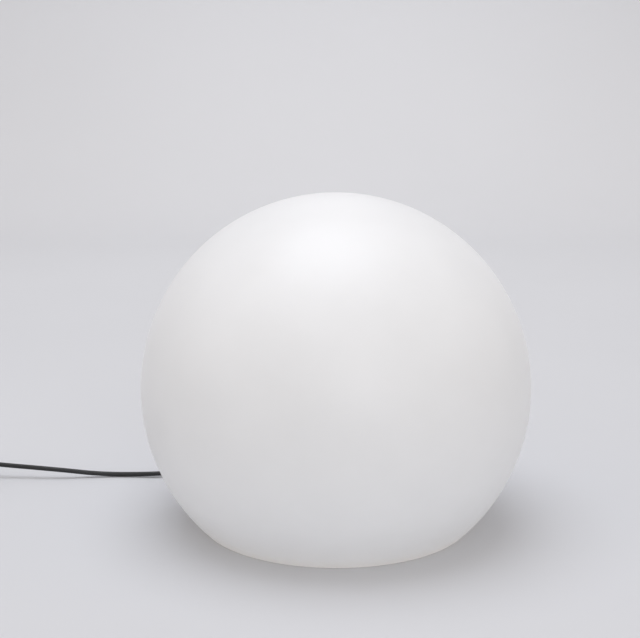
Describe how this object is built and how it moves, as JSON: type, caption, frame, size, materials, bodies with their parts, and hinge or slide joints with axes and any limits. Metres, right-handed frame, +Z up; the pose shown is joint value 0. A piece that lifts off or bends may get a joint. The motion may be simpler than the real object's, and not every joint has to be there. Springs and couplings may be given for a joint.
{
  "type": "garden globe light",
  "caption": "Opal globe lamp with a flat foot that stands on the ground, lifts off a base pod with a screw-in bulb, and trails a rubber mains lead with a plug.",
  "frame": {"origin": "on the ground under the globe's centre, on its axis", "axes": "+Z up, the lead leaves the foot along +Y at the back and lies to the left, -X"},
  "size_m": [0.8641, 0.5, 0.4285],
  "materials": {
    "opal_polyethylene": "rotationally moulded, satin, translucent white",
    "black_polypropylene": "injection moulded, fine texture",
    "grey_foam_rubber": "closed-cell foam",
    "black_rubber": "moulded, matt",
    "brass": "machined",
    "stainless_steel": "cold formed",
    "zinc_steel": "zinc plated",
    "black_polyamide": "injection moulded",
    "white_polyamide": "injection moulded",
    "cord_rubber": "extruded sheath, satin",
    "core_insulation": "extruded",
    "brown_insulation": "extruded",
    "blue_insulation": "extruded",
    "white_thermoplastic": "injection moulded",
    "porcelain": "pressed, partly glazed",
    "phosphor_bronze": "stamped strip",
    "solder_tin": "solder bead",
    "black_glass": "moulded insulator",
    "nickel_plated_brass": "nickel plated",
    "white_bulb_plastic": "injection moulded",
    "circuit_board": "populated board",
    "led_board": "white solder mask",
    "led_phosphor": "phosphor over a white carrier",
    "opal_bulb_plastic": "opal, frosted",
    "plug_rubber": "moulded on the cord"
  },
  "bodies": {
    "base": {"block_screw": "zinc_steel", "blue_wire": "blue_insulation", "brown_wire": "brown_insulation", "clamp_screws": "zinc_steel", "clip_screws": "stainless_steel", "cord_clamp": "black_polyamide", "cord_coil": "cord_rubber", "cord_cores": "core_insulation", "cord_end": "cord_rubber", "cord_run": "cord_rubber", "cord_tail": "cord_rubber", "gland_body": "black_polyamide", "gland_locknut": "black_polyamide", "gland_nut": "black_polyamide", "gland_seal": "black_rubber", "gland_washer": "black_rubber", "holder_cap": "white_thermoplastic", "holder_contact": "phosphor_bronze", "holder_core": "porcelain", "holder_locknut": "zinc_steel", "holder_nipple": "zinc_steel", "holder_screw_shell": "brass", "holder_skirt": "white_thermoplastic", "holder_terminals": "brass", "holder_washer": "zinc_steel", "lid_screws": "stainless_steel", "pan_gasket": "black_rubber", "plug_body": "plug_rubber", "plug_boot": "plug_rubber", "plug_pins": "nickel_plated_brass", "pod_feet": "black_rubber", "pod_lid": "black_polypropylene", "pod_pan": "black_polypropylene", "seat_gasket": "grey_foam_rubber", "spring_clips": "stainless_steel", "terminal_block": "white_polyamide", "terminal_brass": "brass", "terminal_screws": "zinc_steel"},
    "globe": {"globe_shell": "opal_polyethylene", "neck_ring": "black_polypropylene", "neck_gasket": "grey_foam_rubber", "neck_inserts": "brass", "neck_screws": "stainless_steel"},
    "bulb_tip": {"bulb_contact": "solder_tin"},
    "bulb": {"bulb_insulator": "black_glass", "bulb_cap": "nickel_plated_brass", "bulb_housing": "white_bulb_plastic", "bulb_driver": "circuit_board", "bulb_board": "led_board", "bulb_chips": "led_phosphor", "bulb_dome": "opal_bulb_plastic"}
  },
  "joints": [
    {"name": "globe_lift", "type": "slide", "parent": "base", "child": "globe", "axis": [0, 0, 1], "range_m": [0, 0.2], "deforming": ["spring_clips"]},
    {"name": "bulb_draw", "type": "slide", "parent": "base", "child": "bulb_tip", "axis": [0, 0, 1], "range_m": [0, 0.01815]},
    {"name": "bulb_turn", "type": "hinge", "parent": "bulb_tip", "child": "bulb", "pos_m": [0, 0, 0.11], "axis": [0, 0, 1], "range_deg": [0, 1800]}
  ],
  "couplings": [
    {"joint": "bulb_draw", "follows": "bulb_turn", "m_per_rad": 0.00057757}
  ]
}
